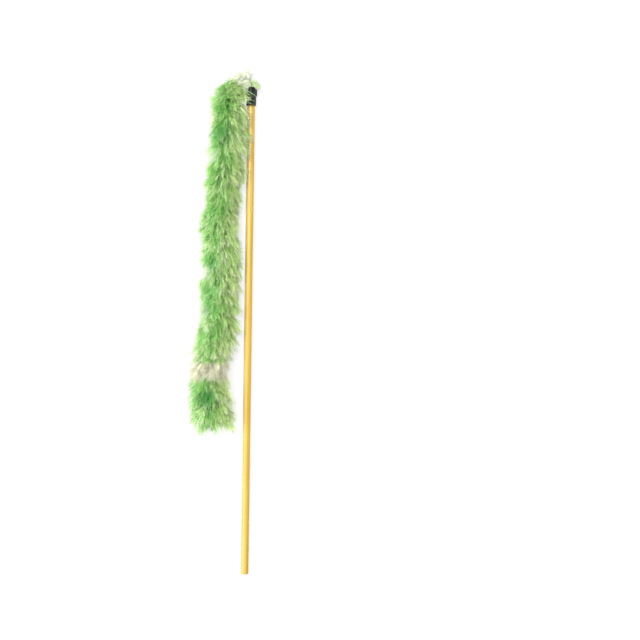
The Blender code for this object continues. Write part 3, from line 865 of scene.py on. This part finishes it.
plumage = plumageTree()
touch = 0.00005
beforeTape = 0.0005
besideDowel = {
    "tapeFoot": tapeLow.y - beforeTape,
    "tapeSide": tapeLow.x - touch,
    "tapeTop": tapeHigh.z + gap,
    "dowelSide": dowelLow.x - touch,
    "dowelTop": dowelHigh.z + gap,
    "tableClearance": 0.0004,
}
overTheTip = {**besideDowel, "tapeSide": 1.0}  # so far out that the tape stops nothing
tailHolder = routeHolder("tailRoute", tailLine, tailSections)
linkMiddles = [(start + end) / 2 for start, end in zip(pivotLengths, pivotLengths[1:])]
lastLink = len(tailPivots) - 1
cuts = [tail["startLength"], *linkMiddles[:lastLink - 1]]
for back in ("undyedFrom", "undyedTo", "lastRoot"):
    cuts.append(lengthNear(Vector((tailPivots[-1].x, tail[back], tailHeight))))
thinned = 1.0


def growTail(name, order, start, end, finish):
    return growPiece(name, plumage, tailHolder, {
        **tail,
        **besideDowel,
        "from": start,
        "to": end,
        "feathers": max(2, round(tail["feathersPerMetre"] * (end - start) * thinned)),
        "seed": order,
        "barbFinish": finish,
        "quillFinish": greenQuill,
    })


for k in range(len(tailPivots)):
    start, end = (cuts[k], cuts[k + 1]) if k < lastLink else cuts[-2:]
    piece = growTail(f"tail_feathers_{k + 1}", k + 1, start, end, greenFeather)
    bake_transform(piece)
    whorls = {0: (1,), lastLink: (15, 16)}.get(k, (2 * k, 2 * k + 1))
    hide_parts(*(f"feather_whorl_{whorl:02d}" for whorl in whorls))
undyedTier = growTail("undyed_feathers", 9, cuts[-3], cuts[-2], whiteFeather)
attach(undyedTier, "tail_7")
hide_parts("feather_whorl_14")
print("tail grown")


# Crown: pale feathers fanned outward from the fold in the string

crown = {
    "from": 0.0018,
    "to": 0.0215,
    "feathers": 235,
    "barbs": 40,
    "quillShare": 0.84,
    "quillRadius": 0.00018,
    "barbLength": 0.0046,
    "barbRadius": 0.00022,
    "leanSpread": math.radians(18),
    "twistSpread": math.radians(40),
    "fluffSpread": math.radians(24),
    "topShare": 0.70,
    "tableShare": 0.40,
    "lockSize": 0.0045,
    "lockReach": 0.0016,
    "wispSize": 0.0016,
    "wispReach": 0.0006,
    "sagZone": 0.0020,
    "flatness": 0.85,
    "fullReach": 0.0050,
    "seed": 21,
    "barbFinish": paleFeather,
    "quillFinish": paleQuill,
}
crownSections = (
    (0.0008, 0.0006, 0.0030, 60),
    (0.0035, 0.0012, 0.0056, 88),
    (0.0055, 0.0044, 0.0066, 82),
    (0.0080, 0.0088, 0.0066, 76),
    (0.0115, 0.0096, 0.0070, 82),
    (0.0145, 0.0088, 0.0070, 86),
    (0.0175, 0.0058, 0.0074, 84),
    (0.0205, 0.0042, 0.0080, 76),
    (0.0215, 0.0036, 0.0080, 76),
)
crownHolder = routeHolder("crownRoute", tailLine, crownSections)
crownPiece = growPiece(
    "crown_feathers", plumage, crownHolder, {**crown, **overTheTip},
)
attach(crownPiece, "fold")
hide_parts("crown_tuft")

# Side tuft: a few feathers glued in beside the string, that point past the tip of the dowel

sideTuft = {
    "angle": math.radians(50),
    "aside": 0.0006,
    "pastTip": 0.0004,
    "height": 0.0026,
    "steps": 12,
    "from": 0.0013,
    "to": 0.0038,
    "feathers": 100,
    "barbs": 44,
    "quillShare": 0.80,
    "quillRadius": 0.00016,
    "barbLength": 0.0034,
    "barbRadius": 0.00013,
    "leanSpread": math.radians(8),
    "twistSpread": math.radians(40),
    "fluffSpread": math.radians(24),
    "topShare": 0.90,
    "tableShare": 0.35,
    "lockSize": 0.0040,
    "lockReach": 0.0008,
    "wispSize": 0.0014,
    "wispReach": 0.0005,
    "sagZone": 0.0010,
    "flatness": 0.85,
    "fullReach": 0.0018,
    "seed": 22,
    "barbFinish": lightFeather,
    "quillFinish": paleQuill,
}
sideSections = (
    (0.0000, 0.0010, 0.0010, 20),
    (0.0016, 0.0014, 0.0014, 30),
    (0.0024, 0.0026, 0.0032, 44),
    (0.0040, 0.0028, 0.0034, 52),
)
sideRoot = onStick(sideTuft["aside"], dowelLength + sideTuft["pastTip"], sideTuft["height"])
sideWay = stickWay * math.cos(sideTuft["angle"]) + stickSide * math.sin(sideTuft["angle"])
sideSteps = sideTuft["steps"]
sideLine = [sideRoot + sideWay * sideTuft["to"] * k / sideSteps for k in range(sideSteps + 1)]
sideHolder = routeHolder("sideRoute", sideLine, sideSections)
sidePiece = growPiece(
    "side_feathers", plumage, sideHolder, {**sideTuft, **overTheTip},
)
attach(sidePiece, "wand")
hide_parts("side_tuft")
print("crown and side tuft grown")


# Dowel

dowel = {"sides": 96, "easedEdge": 0.0004, "easeSteps": 5, "rings": 60}


def stickRing(along, radius, sides):
    turns = [2 * math.pi * n / sides for n in range(sides)]
    return [onStick(radius * math.cos(a), along, radius * math.sin(a)) for a in turns]


eased = dowel["easedEdge"]
easeTurns = [math.pi / 2 * k / dowel["easeSteps"] for k in range(dowel["easeSteps"] + 1)]
buttEase = [(eased * (1 - math.cos(a)), dowelRadius - eased * (1 - math.sin(a))) for a in easeTurns]
tipEase = [(dowelLength - along, radius) for along, radius in reversed(buttEase)]
stations = [(dowelLength * k / dowel["rings"], dowelRadius) for k in range(1, dowel["rings"])]
stations = [*buttEase, *stations, *tipEase]
bm = bmesh.new()
joinRings(bm, [stickRing(along, radius, dowel["sides"]) for along, radius in stations])
dowelPiece = finishPiece("dowel", bm, woodFinish)
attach(dowelPiece, "wand")
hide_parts("wooden_dowel")


# Tape, wound round the dowel and over the string on top of it

tape = {
    "length": 0.0150,
    "pastTip": 0.0010,
    "wall": 0.0008,
    "step": 0.40060,
    "overWhipping": 0.0011,
    "pitch": 0.0045,
    "lap": 0.00022,
    "lapEdge": 0.10,  # in turns
    "lapCreep": 0.35,
    "climb": 0.0012,
    "creases": (9.0, 900.0),  # to the turn and to the metre
    "creaseDepth": 0.00010,
    "endRound": 0.0003,
    "endShare": 0.02,
    "sides": 96,
    "rows": 120,
}
stringOnDowel = dowelRadius + gap + stringRadius
boundCircles = ((0.0, dowelRadius), (stringOnDowel, stringRadius))


def boundPoint(a, along, offset):
    # A point at an angle round the dowel and the string on it, at an offset outside them.
    height, radius = max(boundCircles, key=lambda circle: circle[0] * math.sin(a) + circle[1])
    reach = radius + offset
    return onStick(reach * math.cos(a), along, height + reach * math.sin(a))


def tapeRing(share, outer):
    # One ring of the tape. On its outer face each turn laps over the last, with faint creases.
    foot = dowelLength + tape["pastTip"] - tape["length"]
    along = foot + tape["length"] * share
    climb = easeStep(along, tape["step"] - tape["climb"], tape["step"])
    ring = []
    for n in range(tape["sides"]):
        turn = n / tape["sides"]
        offset = gap + (tape["overWhipping"] - gap) * climb
        if outer:
            wound = ((along - foot) / tape["pitch"] + turn) % 1.0
            edge = 1.0 - easeStep(wound, 0.0, tape["lapEdge"]) + tape["lapCreep"] * wound
            across, down = tape["creases"]
            crease = noise.noise(Vector((turn * across, along * down, 3.0))) * tape["creaseDepth"]
            atEnd = 1 - min(1.0, min(share, 1 - share) / tape["endShare"])
            offset += tape["wall"] - tape["lap"] + tape["lap"] * edge + crease
            offset -= tape["endRound"] * atEnd
        ring.append(boundPoint(2 * math.pi * n / tape["sides"], along, offset))
    return ring


bm = bmesh.new()
rows = [k / tape["rows"] for k in range(tape["rows"] + 1)]
rings = [tapeRing(share, True) for share in rows]
rings += [tapeRing(share, False) for share in reversed(rows)]
joinRings(bm, rings, closedLoop=True)
tapePiece = finishPiece("tape", bm, tapeFinish, 50)
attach(tapePiece, "wand")
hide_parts("tape_binding")
print("dowel and tape built")


# Loose pale strands that were caught under the last turn and lie over the tape

strandShape = {"steps": 10, "sides": 8, "taper": 0.7}
strands = (
    {"radius": 0.00042, "line": (
        (-0.0056, 0.4046, 0.0060), (-0.0030, 0.4034, 0.0086), (0.0004, 0.4016, 0.0080),
        (0.0030, 0.4002, 0.0058), (0.0046, 0.3986, 0.0028),
    )},
    {"radius": 0.00036, "line": (
        (-0.0066, 0.4036, 0.0072), (-0.0044, 0.4002, 0.0084), (-0.0018, 0.3968, 0.0078),
        (0.0012, 0.3956, 0.0076), (0.0030, 0.3953, 0.0060),
    )},
    {"radius": 0.00026, "line": (
        (-0.0050, 0.3980, 0.0064), (-0.0030, 0.3952, 0.0074), (-0.0006, 0.3932, 0.0080),
        (0.0020, 0.3922, 0.0068),
    )},
)
bm = bmesh.new()
for strand in strands:
    line = smoothLine([onStick(*point) for point in strand["line"]], strandShape["steps"])
    taper = strandShape["taper"] / (len(line) - 1)
    taperedTube(
        bm, line, [strand["radius"] * (1.0 - taper * k) for k in range(len(line))],
        strandShape["sides"],
    )
strandPiece = finishPiece("loose_strands", bm, strandFinish)
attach(strandPiece, "wand")

# One bare quill that sticks out of the tail, over the edge of the dowel
bm = bmesh.new()
bareQuill = {
    "line": (
        (0.0136, 0.1778, 0.0205), (0.0160, 0.1750, 0.0180), (0.0182, 0.1722, 0.0140),
        (0.0202, 0.1694, 0.0104),
    ),
    "thin": 0.00040,
    "thick": 0.00080,
    "swell": 0.8,  # how much of half a wave its thickness follows
    "steps": 10,
    "sides": 10,
}
line = smoothLine([Vector(point) for point in bareQuill["line"]], bareQuill["steps"])
swell = bareQuill["thick"] - bareQuill["thin"]
bend = math.pi * bareQuill["swell"] / (len(line) - 1)
radii = [bareQuill["thin"] + swell * math.sin(bend * k) for k in range(len(line))]
taperedTube(bm, line, radii, bareQuill["sides"])
quillPiece = finishPiece("bare_quill", bm, paleQuill)
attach(quillPiece, "tail_1")
print("loose strands built")


# Strings: one twisted length to each body, as the solids have

twisted = cordTree()


def growCord(name, holder, start, end, body, node):
    reach = {"from": start, "to": end, "finish": stringFinish}
    piece = growPiece(name, twisted, holder, {**cord, **reach})
    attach(piece, body)
    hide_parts(node)


clearance = stringRadius + gap
knotRoom = 0.0087  # the stretch of string that the knot and its end take up
growCord("cord_fold", tailHolder, 0.0, pivotLengths[0] - clearance, "fold", "string_fold")
for k in range(len(tailPivots)):
    end = pivotLengths[k + 1] - clearance if k < lastLink else tailEndLength - knotRoom
    growCord(f"cord_{k + 1}", tailHolder, pivotLengths[k], end, f"tail_{k + 1}", f"string_{k + 1}")
bound = {"length": 0.0139, "underTape": 0.0120, "steps": 20}
boundStart = dowelLength - bound["underTape"]
boundLine = [
    onStick(0, boundStart + bound["length"] * k / bound["steps"], stringOnDowel)
    for k in range(bound["steps"] + 1)
]
boundHolder = routeHolder("boundRoute", boundLine, tailSections)
growCord("cord_bound", boundHolder, 0.0, bound["length"], "wand", "string_bound")

# The knot: the string's last turns round itself, and a short end
knot = {
    "turns": 2.6,
    "radius": 0.0016,
    "length": 0.0052,
    "belowTop": 0.0011,
    "easeShare": 0.16,
    "stub": (0.0003, 0.0016, 0.0002),
    "steps": 66,
}
knotLow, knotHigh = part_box("end_knot")
knotMiddle = (knotLow + knotHigh) / 2
knotTop = Vector((knotMiddle.x, knotHigh.y - knot["belowTop"], knotMiddle.z))
knotLine = []
for k in range(knot["steps"] + 1):
    share = k / knot["steps"]
    out = knot["radius"]
    for fromEnd in (share, 1.0 - share):
        out *= easeStep(fromEnd, 0.0, knot["easeShare"])
    a = 2 * math.pi * knot["turns"] * share
    turned = Vector((math.cos(a) * out, -knot["length"] * share, math.sin(a) * out))
    knotLine.append(knotTop + turned)
knotLine.append(knotLine[-1] - Vector(knot["stub"]))
knotHolder = routeHolder("knotRoute", knotLine, tailSections)
knotLength = lineLengths(knotLine)[-1]
growCord("cord_knot", knotHolder, 0.0, knotLength, "tail_8", "end_knot")
for holder in (tailHolder, crownHolder, sideHolder, boundHolder, knotHolder):
    bpy.data.objects.remove(holder)
print("cords wound")

# Thread that whips the string to the dowel under the tape
whipping = {
    "length": 0.0048,
    "fromTip": 0.0008,
    "threadRadius": 0.00023,
    "pitchInRadii": 2.1,
    "sides": 6,
    "steps": 60,
}
bm = bmesh.new()
threadRadius = whipping["threadRadius"]
threadPitch = whipping["pitchInRadii"] * threadRadius
turnCount = int((whipping["length"] - 2 * threadRadius) / threadPitch)
line = []
for n in range(turnCount * whipping["steps"] + 1):
    turn = n / whipping["steps"]
    along = dowelLength - whipping["fromTip"] - threadRadius - threadPitch * turn
    line.append(boundPoint(2 * math.pi * turn, along, gap + threadRadius))
taperedTube(bm, line, [threadRadius] * len(line), whipping["sides"], stickWay)
threadPiece = finishPiece("whipping_thread", bm, threadFinish, 60)
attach(threadPiece, "wand")
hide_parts("thread_whipping")
print("whipping wound")


# Floor, light and camera

studio = {
    "floorReach": 3.0,
    "floorDrop": 0.0002,
    "paper": "#F4F4F4",
    "paperGlow": 0.84,  # how far plain white replaces the paper's shading, seen or reflected
    "world": 0.29,
    "lamps": {
        "key": {"place": (-0.30, 0.46, 1.36), "size": 0.8, "power": 33},
        "fill": {"place": (-1.10, -0.50, 0.80), "size": 0.8, "power": 16},
    },
}
far = studio["floorReach"]
floorMesh = bpy.data.meshes.new("floor")
floorMesh.from_pydata(
    [(-far, -far, 0.0), (far, -far, 0.0), (far, far, 0.0), (-far, far, 0.0)], [], [(0, 1, 2, 3)],
)
floor = putInScene("floor", floorMesh)
floor.location.z = -studio["floorDrop"]
paper = bpy.data.materials.new("white paper")
paper.use_nodes = True
paperTree = paper.node_tree
paperTree.nodes.clear()
matt = addNode(paperTree, "ShaderNodeBsdfDiffuse", linear(studio["paper"]))
bright = addNode(paperTree, "ShaderNodeEmission", (1.0, 1.0, 1.0, 1.0), 1.0)
rays = addNode(paperTree, "ShaderNodeLightPath").outputs
seen = addNode(paperTree, "ShaderNodeMath", rays["Is Camera Ray"], rays["Is Glossy Ray"],
               operation="MAXIMUM")
share = addNode(paperTree, "ShaderNodeMath", seen, studio["paperGlow"], operation="MULTIPLY")
mixed = addNode(paperTree, "ShaderNodeMixShader", share, matt, bright)
addNode(paperTree, "ShaderNodeOutputMaterial", mixed)
floorMesh.materials.append(paper)

world = bpy.data.worlds.new("studio")
world.use_nodes = True
worldTree = world.node_tree
worldTree.nodes.clear()
sky = addNode(worldTree, "ShaderNodeBackground", (1.0, 1.0, 1.0, 1.0), studio["world"])
addNode(worldTree, "ShaderNodeOutputWorld", sky)
bpy.context.scene.world = world
for name, lamp in studio["lamps"].items():
    softbox = bpy.data.lights.new(name, "AREA")
    softbox.shape = "DISK"
    softbox.size = lamp["size"]
    softbox.energy = lamp["power"]
    holder = putInScene(name, softbox)
    holder.location = lamp["place"]
    holder.rotation_euler = (-Vector(lamp["place"])).to_track_quat("-Z", "Y").to_euler()

view = {"centre": (0.0819, 0.0028), "distance": 1.4, "lens": 93.75, "roll": math.radians(0.83)}
lens = bpy.data.cameras.new("camera")
lens.lens = view["lens"]
lens.clip_start = 0.01
camera = putInScene("camera", lens)
camera.location = (*view["centre"], view["distance"])
camera.rotation_euler = (0.0, 0.0, view["roll"])
bpy.context.scene.camera = camera
bpy.context.scene.view_settings.view_transform = "Standard"
